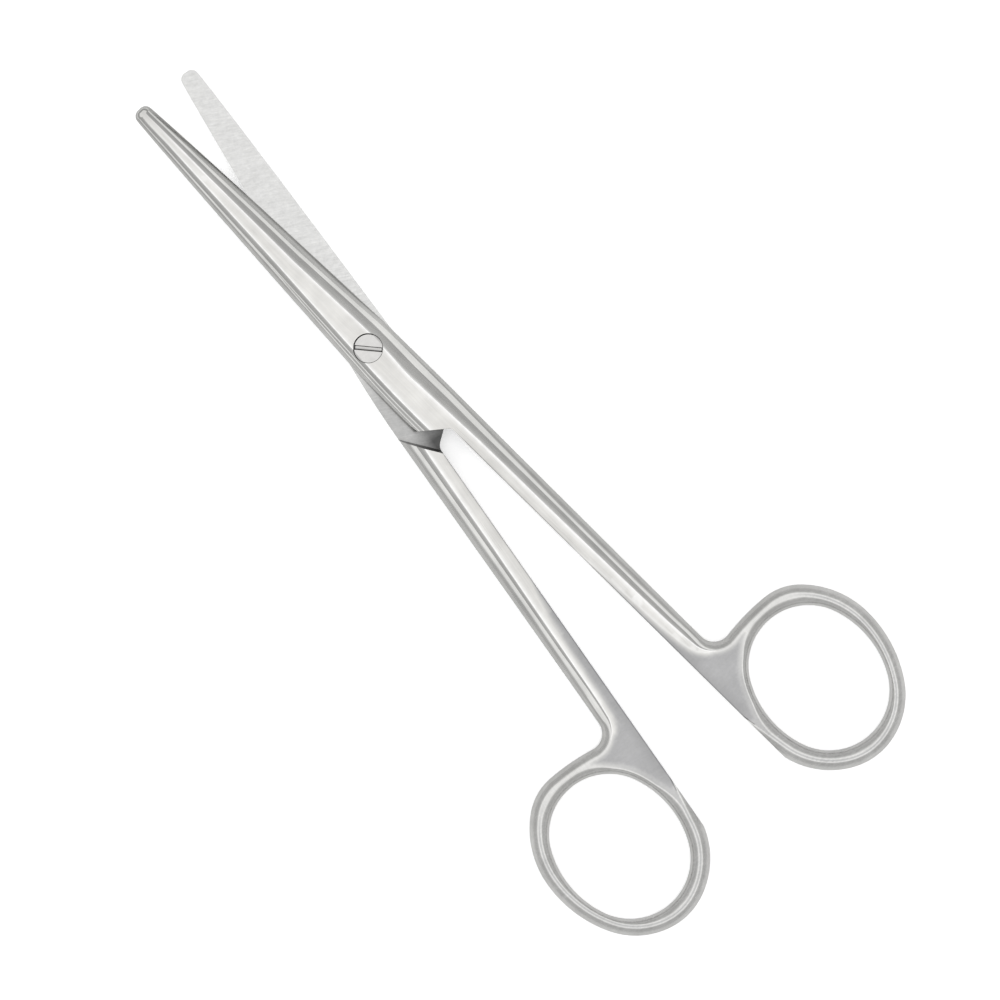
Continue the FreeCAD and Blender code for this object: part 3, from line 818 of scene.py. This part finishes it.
def slotted_screw():
    profile = [(0, 0.0), (SHAFT_R - 0.08, 0.0), (SHAFT_R, 0.08), (SHAFT_R, 3.65), (HEAD_R, 4.55),
               (HEAD_R, 4.92), (HEAD_R - 0.02, 4.96), (HEAD_R - 0.07, 4.99), (0, 4.99)]
    body = lathe("screw_blank", profile, screw_steel)
    along = np.array([math.cos(SLOT_ANGLE), math.sin(SLOT_ANGLE)])
    across = np.array([-along[1], along[0]])
    shape = [(-side, z) for side, z in SLOT_SIDE] + list(reversed(SLOT_SIDE))
    past_head = 4.0
    loops = [[(*(along * end + across * v), z) for v, z in shape] for end in (-past_head, past_head)]
    flush = bpy.data.objects.new("flush", blanks["upper"].copy())
    bpy.context.scene.collection.objects.link(flush)
    flush.data.transform(to_rest(True, 1.0))
    flush.data.flip_normals()
    mesh = cut(body.data, [("INTERSECT", flush), ("DIFFERENCE", prism("slot", loops, screw_steel))])
    bpy.data.objects.remove(body)
    keep_plan(mesh, 0.0)
    mesh.transform(Matrix.Scale(MM, 4))
    work = bmesh.new()
    work.from_mesh(mesh)
    bmesh.ops.remove_doubles(work, verts=work.verts, dist=WELD)
    mark_crisp(work, SCREW_CRISP)
    for face in work.faces:
        face.material_index = 0
    work.to_mesh(mesh)
    work.free()
    mesh.materials.clear()
    mesh.materials.append(screw_steel)
    screw = bpy.data.objects.new("joint_screw_steel", mesh)
    bpy.context.scene.collection.objects.link(screw)
    print("screw faces", len(mesh.polygons))
    return screw


screw = slotted_screw()

# %% [markdown]
# ## Finishes
# Every face of the object is the same stainless steel, and only the last tool that touched
# it differs: a flat stone on the facets, a polishing brush on the flanks, fine grit on the
# web, and a surface grinder across the lap. One group makes long scratches and a soft
# cloudiness for all of them. Colours stay near those of bare steel, and the light does most of
# the rest; some highlights and shade are painted into the colours as well.

# %% Shared effects as shader groups
def shader_group(name, inputs, outputs):
    group = bpy.data.node_groups.new(name, "ShaderNodeTree")
    for label, kind, value in inputs:
        socket = group.interface.new_socket(label, in_out="INPUT", socket_type=kind)
        if value is not None:
            socket.default_value = value
    for label, kind in outputs:
        group.interface.new_socket(label, in_out="OUTPUT", socket_type=kind)
    return group, group.nodes.new("NodeGroupInput"), group.nodes.new("NodeGroupOutput")


def noise(tree, vector, scale, detail, rough=0.5):
    node = tree.nodes.new("ShaderNodeTexNoise")
    put(tree, node.inputs["Vector"], vector)
    put(tree, node.inputs["Scale"], scale)
    put(tree, node.inputs["Detail"], detail)
    put(tree, node.inputs["Roughness"], rough)
    return node.outputs["Fac"]


def stretched(tree, vector, stretch):
    node = tree.nodes.new("ShaderNodeVectorMath")
    node.operation = "MULTIPLY"
    put(tree, node.inputs[0], vector)
    put(tree, node.inputs[1], stretch)
    return node.outputs[0]


def spread(tree, value, low, high, to_low, to_high):
    node = tree.nodes.new("ShaderNodeMapRange")
    put(tree, node.inputs["Value"], value)
    for label, number in (("From Min", low), ("From Max", high), ("To Min", to_low), ("To Max", to_high)):
        put(tree, node.inputs[label], number)
    return node.outputs[0]


def tone(tree, fac, dark, bright):
    """Bring the range that a noise really uses to two tones."""
    return spread(tree, fac, 0.3, 0.7, dark, bright)


def times(tree, *values):
    product = values[0]
    for value in values[1:]:
        product = calc(tree, "MULTIPLY", product, value)
    return product


def grinding_marks():
    """Scratches in one direction, and a cloudiness from the hand that held the work."""
    group, given, out = shader_group(
        "grinding_marks",
        [("Vector", "NodeSocketVector", None), ("Stretch", "NodeSocketVector", (0.12, 5.0, 5.0)),
         ("Cloud Scale", "NodeSocketFloat", 0.25)],
        [("Marks", "NodeSocketFloat"), ("Clouds", "NodeSocketFloat")])
    along = stretched(group, given.outputs["Vector"], given.outputs["Stretch"])
    fine = noise(group, along, 1.0, 3.0, 0.6)
    coarse = noise(group, stretched(group, along, (0.5, 0.22, 0.22)), 1.0, 2.0)
    both = calc(group, "MULTIPLY_ADD", coarse, 0.45, calc(group, "MULTIPLY", fine, 0.55))
    clouds = noise(group, given.outputs["Vector"], given.outputs["Cloud Scale"], 4.0, 0.6)
    put(group, out.inputs["Marks"], both)
    put(group, out.inputs["Clouds"], clouds)
    return group


def painted_ridge_highlight():
    """Painted highlight on a ridge: the ridge's own number, broken up by a fine noise."""
    group, given, out = shader_group(
        "painted_ridge_highlight", [("Ridge", "NodeSocketFloat", 0.0), ("Vector", "NodeSocketVector", None),
                      ("Amount", "NodeSocketFloat", 1.0)], [("Highlight", "NodeSocketFloat")])
    patch = tone(group, noise(group, given.outputs["Vector"], 0.9, 3.0), 0.65, 1.0)
    sharp = calc(group, "POWER", given.outputs["Ridge"], 1.6)
    put(group, out.inputs["Highlight"], times(group, sharp, patch, given.outputs["Amount"]))
    return group


marks_group, highlight_group = grinding_marks(), painted_ridge_highlight()


def place_group(tree, group, **inputs):
    node = tree.nodes.new("ShaderNodeGroup")
    node.node_tree = group
    for label, value in inputs.items():
        put(tree, node.inputs[label.replace("_", " ")], value)
    return node


def attribute(tree, label, output="Fac"):
    node = tree.nodes.new("ShaderNodeAttribute")
    node.attribute_name = label
    return node.outputs[output]


def colour_mix(tree, share, a, b, mode="MIX"):
    node = tree.nodes.new("ShaderNodeMix")
    node.data_type = "RGBA"
    node.blend_type = mode
    put(tree, node.inputs[0], share)
    put(tree, node.inputs[6], a)
    put(tree, node.inputs[7], b)
    return node.outputs[2]


def grey(tree, value):
    node = tree.nodes.new("ShaderNodeCombineColor")
    for k in range(3):
        put(tree, node.inputs[k], value)
    return node.outputs[0]


def steel_shader(material):
    material.use_nodes = True
    shader = material.node_tree.nodes["Principled BSDF"]
    shader.inputs["Metallic"].default_value = 1.0
    return material.node_tree, shader


def bump(tree, shader, height, distance, strength):
    node = tree.nodes.new("ShaderNodeBump")
    node.inputs["Distance"].default_value = distance
    node.inputs["Strength"].default_value = strength
    put(tree, node.inputs["Height"], height)
    put(tree, shader.inputs["Normal"], node.outputs[0])


# %% [markdown]
# ### Satin steel of the forgings
# Several finishes meet on one forging, so they share one material and are told apart by the
# masks that the sheet carries and by the place along the forging. Facets are stoned flat and
# bright, flanks are brushed along their length and coloured darker, a painted shade for the room
# they reflect, and the web between shank and ring is left matt. On the ring it is the other way
# round: fingers polish its sides, and the narrow flat stays darker. A painted highlight lies on
# the ridges between them, and a painted shade along the parting edge behind the heel.

# %% Material of the two halves
# The flanks are coloured darker than the facets: a painted shade for the dark room that their slopes reflect
FLANK = (0.485, 0.483, 0.470, 1.0)
FACET = (0.548, 0.541, 0.524, 1.0)
WEB = (0.355, 0.354, 0.357, 1.0)
RING = (0.365, 0.364, 0.361, 1.0)
RING_FLANK = (0.535, 0.533, 0.522, 1.0)
# The next colour is a painted highlight, laid along every ridge
RIDGE_HIGHLIGHT = (0.82, 0.82, 0.82, 1.0)
# Where along the forging a tone changes over, in millimetres from the pivot
RING_START = (-86.0, -80.0)
NOSE, NOSE_SHADE = (46.0, 57.0), (48.0, 57.0)
BEHIND_HEEL, WEB_END = (-24.0, -20.5), (-93.0, -89.0)
# And beside the parting edge: a strip of faint painted shade, and a darker painted shade on the edge itself
SHADED_STRIP, SHADED_EDGE = (0.1, 2.0), (0.06, 0.26)


def dress_forgings():
    tree, shader = steel_shader(steel)
    plan = attribute(tree, "plan", "Vector")
    where = tree.nodes.new("ShaderNodeSeparateXYZ")
    put(tree, where.inputs[0], plan)
    facet, web, ridge = attribute(tree, "facet"), attribute(tree, "web"), attribute(tree, "ridge_highlight")
    marks = place_group(tree, marks_group, Vector=plan, Stretch=(0.12, 4.0, 4.0), Cloud_Scale=0.22)
    cross = place_group(tree, marks_group, Vector=plan, Stretch=(3.2, 2.0, 3.2), Cloud_Scale=0.3)
    x, v = where.outputs[0], where.outputs[1]
    # Painted highlight along the ridges: weaker on the web, near the nose and on the ring
    bare = times(tree, calc(tree, "SUBTRACT", 1.0, times(tree, web, 0.8)), spread(tree, x, *NOSE, 1.0, 0.25),
                 spread(tree, x, *RING_START, 0.38, 1.0))
    painted_highlight = place_group(tree, highlight_group, Ridge=times(tree, ridge, bare), Vector=plan, Amount=1.0)
    on_ring = spread(tree, x, *RING_START, 1.0, 0.0)
    base = colour_mix(tree, facet, colour_mix(tree, on_ring, FLANK, RING_FLANK),
                      colour_mix(tree, on_ring, FACET, RING))
    base = colour_mix(tree, web, base, WEB)
    matt = calc(tree, "MAXIMUM", web, on_ring)
    lines = blend(tree, marks.outputs["Marks"], cross.outputs["Marks"], matt)
    # Painted shade behind the heel: a faint strip beside the parting edge and a darker line on the edge
    # itself
    behind = times(tree, spread(tree, x, *BEHIND_HEEL, 1.0, 0.0), spread(tree, x, *WEB_END, 0.0, 1.0))
    strip_shade = times(tree, behind, spread(tree, v, *SHADED_STRIP, 0.11, -0.02))
    edge_shade = times(tree, behind, spread(tree, v, *SHADED_EDGE, 0.42, 0.0))
    shade = times(tree, tone(tree, lines, 0.90, 1.09), tone(tree, marks.outputs["Clouds"], 0.93, 1.07),
                  calc(tree, "SUBTRACT", 1.0, calc(tree, "ADD", strip_shade, edge_shade)),
                  spread(tree, x, *NOSE_SHADE, 1.0, 0.80))
    base = colour_mix(tree, 1.0, base, grey(tree, shade), "MULTIPLY")
    # Lay the painted highlight's bright colour on the ridges
    base = colour_mix(tree, painted_highlight.outputs["Highlight"], base, RIDGE_HIGHLIGHT)
    put(tree, shader.inputs["Base Color"], base)
    rough = blend(tree, calc(tree, "MULTIPLY_ADD", facet, 0.08, 0.22), 0.42, web)
    put(tree, shader.inputs["Roughness"], calc(tree, "ADD", tone(tree, lines, -0.04, 0.06), rough))
    bump(tree, shader, lines, 0.00001, 0.5)


dress_forgings()

# %% [markdown]
# ### Cross-ground lap
# The two lap faces are surface-ground across the blade, so that they slide on a film of
# oil held by the marks. From above, only the lower blade and the gap behind the heel show it.

# %% Material of the milled lap
LAP = (0.585, 0.584, 0.577, 1.0)
LAP_TURN = math.radians(24.0)    # how far the wheel's marks lean off square to the blade
# Where painted shade darkens the lap under the upper half and in its corner behind the heel, in millimetres
LAP_SHADE, CORNER, CORNER_END, CORNER_WIDTH = (-9.0, -1.0), (-19.5, -15.5), (-26.0, -23.0), (0.3, 3.4)


def dress_lap():
    tree, shader = steel_shader(lap_steel)
    plan = attribute(tree, "plan", "Vector")
    turned = tree.nodes.new("ShaderNodeMapping")
    turned.inputs["Rotation"].default_value = (0.0, 0.0, LAP_TURN)
    put(tree, turned.inputs["Vector"], plan)
    marks = place_group(tree, marks_group, Vector=turned.outputs[0], Stretch=(3.6, 0.45, 3.6),
                        Cloud_Scale=0.5)
    blotch = place_group(tree, marks_group, Vector=plan, Stretch=(2.6, 2.6, 2.6), Cloud_Scale=1.1)
    where = tree.nodes.new("ShaderNodeSeparateXYZ")
    put(tree, where.inputs[0], plan)
    x, v = where.outputs[0], where.outputs[1]
    # Painted shade: the lap darker under the upper half, and darker still in the corner behind the heel
    lap_shade = spread(tree, x, *LAP_SHADE, 0.70, 1.0)
    corner = times(tree, spread(tree, x, *CORNER, 1.0, 0.0), spread(tree, v, *CORNER_WIDTH, 0.80, 0.0),
                   spread(tree, x, *CORNER_END, 0.0, 1.0))
    shade = times(tree, tone(tree, marks.outputs["Marks"], 0.82, 1.12),
                  tone(tree, blotch.outputs["Marks"], 0.91, 1.08),
                  tone(tree, blotch.outputs["Clouds"], 0.95, 1.05), lap_shade,
                  calc(tree, "SUBTRACT", 1.0, corner))
    put(tree, shader.inputs["Base Color"], colour_mix(tree, 1.0, LAP, grey(tree, shade), "MULTIPLY"))
    put(tree, shader.inputs["Roughness"], tone(tree, marks.outputs["Marks"], 0.34, 0.48))
    bump(tree, shader, marks.outputs["Marks"], 0.00002, 0.6)


dress_lap()

# %% [markdown]
# ### The screw's finish
# A turned head is finished with fine rings about its axis, so its marks follow the distance
# from the axis, and a painted shade darkens the slot that a saw cut, most along its walls.

# %% Material of the screw
SCREW = (0.52, 0.515, 0.505, 1.0)


def dress_screw():
    tree, shader = steel_shader(screw_steel)
    plan = attribute(tree, "plan", "Vector")
    parts = tree.nodes.new("ShaderNodeSeparateXYZ")
    put(tree, parts.inputs[0], plan)
    x, y = parts.outputs[0], parts.outputs[1]
    radius = calc(tree, "SQRT", calc(tree, "ADD", times(tree, x, x), times(tree, y, y)))
    rings = tree.nodes.new("ShaderNodeCombineXYZ")
    put(tree, rings.inputs[0], radius)
    marks = place_group(tree, marks_group, Vector=rings.outputs[0], Stretch=(6.0, 1.0, 1.0),
                        Cloud_Scale=0.5)
    clouds = place_group(tree, marks_group, Vector=plan, Stretch=(1.0, 1.0, 1.0), Cloud_Scale=0.9)
    # Painted shade in the slot: a little over its floor, more along each wall, most along one
    deep = spread(tree, parts.outputs[2], 4.6, 4.9, 1.0, 0.0)
    across = calc(tree, "SUBTRACT", times(tree, y, math.cos(SLOT_ANGLE)),
                  times(tree, x, math.sin(SLOT_ANGLE)))
    corners = calc(tree, "ADD", spread(tree, across, 0.02, 0.30, 0.0, 0.85),
                   spread(tree, across, -0.36, -0.24, 0.45, 0.0))
    slot_shade = times(tree, deep, calc(tree, "ADD", corners, 0.12))
    shade = times(tree, tone(tree, marks.outputs["Marks"], 0.95, 1.04),
                  tone(tree, clouds.outputs["Clouds"], 0.93, 1.05), calc(tree, "SUBTRACT", 1.0, slot_shade))
    put(tree, shader.inputs["Base Color"], colour_mix(tree, 1.0, SCREW, grey(tree, shade), "MULTIPLY"))
    put(tree, shader.inputs["Roughness"], tone(tree, marks.outputs["Marks"], 0.26, 0.36))
    bump(tree, shader, marks.outputs["Marks"], 0.00001, 0.5)


dress_screw()

# %% [markdown]
# ## Table, light and camera
# Bare steel has no colour of its own to show: it shows the room. The room is a white table
# and a dome that is bright overhead and darker at half height, so facets that face up come
# out bright and sloping flanks come out grey. There is no lamp, because its small image
# would glint in the flat facets. The camera looks straight down from far away, through a
# long lens.

# %% Table
def white_table():
    side, top, glow = 3.0, -5e-5, 0.45
    mesh = bpy.data.meshes.new("table")
    mesh.from_pydata([(-side, -side, top), (side, -side, top), (side, side, top), (-side, side, top)], [],
                     [(0, 1, 2, 3)])
    floor = bpy.data.objects.new("table", mesh)
    bpy.context.scene.collection.objects.link(floor)
    material = bpy.data.materials.new("table_white")
    material.use_nodes = True
    shader = material.node_tree.nodes["Principled BSDF"]
    shader.inputs["Base Color"].default_value = (0.97, 0.97, 0.97, 1.0)
    shader.inputs["Roughness"].default_value = 0.9
    shader.inputs["Specular IOR Level"].default_value = 0.0
    tree = material.node_tree
    seen = tree.nodes.new("ShaderNodeLightPath")
    shader.inputs["Emission Color"].default_value = (1.0, 1.0, 1.0, 1.0)
    put(tree, shader.inputs["Emission Strength"], times(tree, seen.outputs["Is Camera Ray"], glow))
    mesh.materials.append(material)


white_table()

# %% Dome
STRENGTH = 2.0
# Height on the dome, from the horizon to straight up, and how bright it is there
STOPS = ((0.0, 0.86), (0.25, 0.76), (0.50, 0.68), (0.70, 0.74), (0.80, 1.02), (0.89, 1.46), (0.95, 1.54),
         (1.0, 1.44))


def pale_dome():
    world = bpy.data.worlds.new("dome")
    bpy.context.scene.world = world
    world.use_nodes = True
    tree = world.node_tree
    where = tree.nodes.new("ShaderNodeTexCoord")
    parts = tree.nodes.new("ShaderNodeSeparateXYZ")
    put(tree, parts.inputs[0], where.outputs["Generated"])
    ramp = tree.nodes.new("ShaderNodeValToRGB")
    while len(ramp.color_ramp.elements) < len(STOPS):
        ramp.color_ramp.elements.new(0.5)
    for element, (place, level) in zip(ramp.color_ramp.elements, STOPS):
        element.position = place
        element.color = (level / STRENGTH, level / STRENGTH, level / STRENGTH, 1.0)
    put(tree, ramp.inputs[0], parts.outputs[2])
    background = tree.nodes["Background"]
    put(tree, background.inputs["Color"], ramp.outputs[0])
    background.inputs["Strength"].default_value = STRENGTH


pale_dome()
bpy.context.scene.view_settings.view_transform = "Standard"

# %% Camera
def long_lens():
    data = bpy.data.cameras.new("camera")
    distance, frame_width, sensor = 1.2, 0.17418, 36.0
    aim = (-0.0348, -0.0005)
    data.sensor_width = sensor
    data.lens = sensor * distance / frame_width
    data.clip_end = 20.0
    eye = bpy.data.objects.new("camera", data)
    bpy.context.scene.collection.objects.link(eye)
    up, right = Vector((0.7640, -0.6452, 0.0)), Vector((-0.6452, -0.7640, 0.0))
    turn = Matrix((right, up, Vector((0.0, 0.0, 1.0)))).transposed().to_4x4()
    eye.matrix_world = Matrix.Translation((*aim, distance)) @ turn
    bpy.context.scene.camera = eye


long_lens()

# %% [markdown]
# ## Joining the steel to the moving model
# Each piece is handed to the body that carries it, so it swings with the joint, and it takes
# the place of the plain solid of the same name.

# %% Hand over
for piece, body, node, slot in ((steel_halves["upper"], "upper", "upper_half", "forged_steel"),
                                (steel_halves["lower"], "lower", "lower_half", "forged_steel"),
                                (screw, "lower", "joint_screw", "screw_steel")):
    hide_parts(node)
    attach(piece, body)
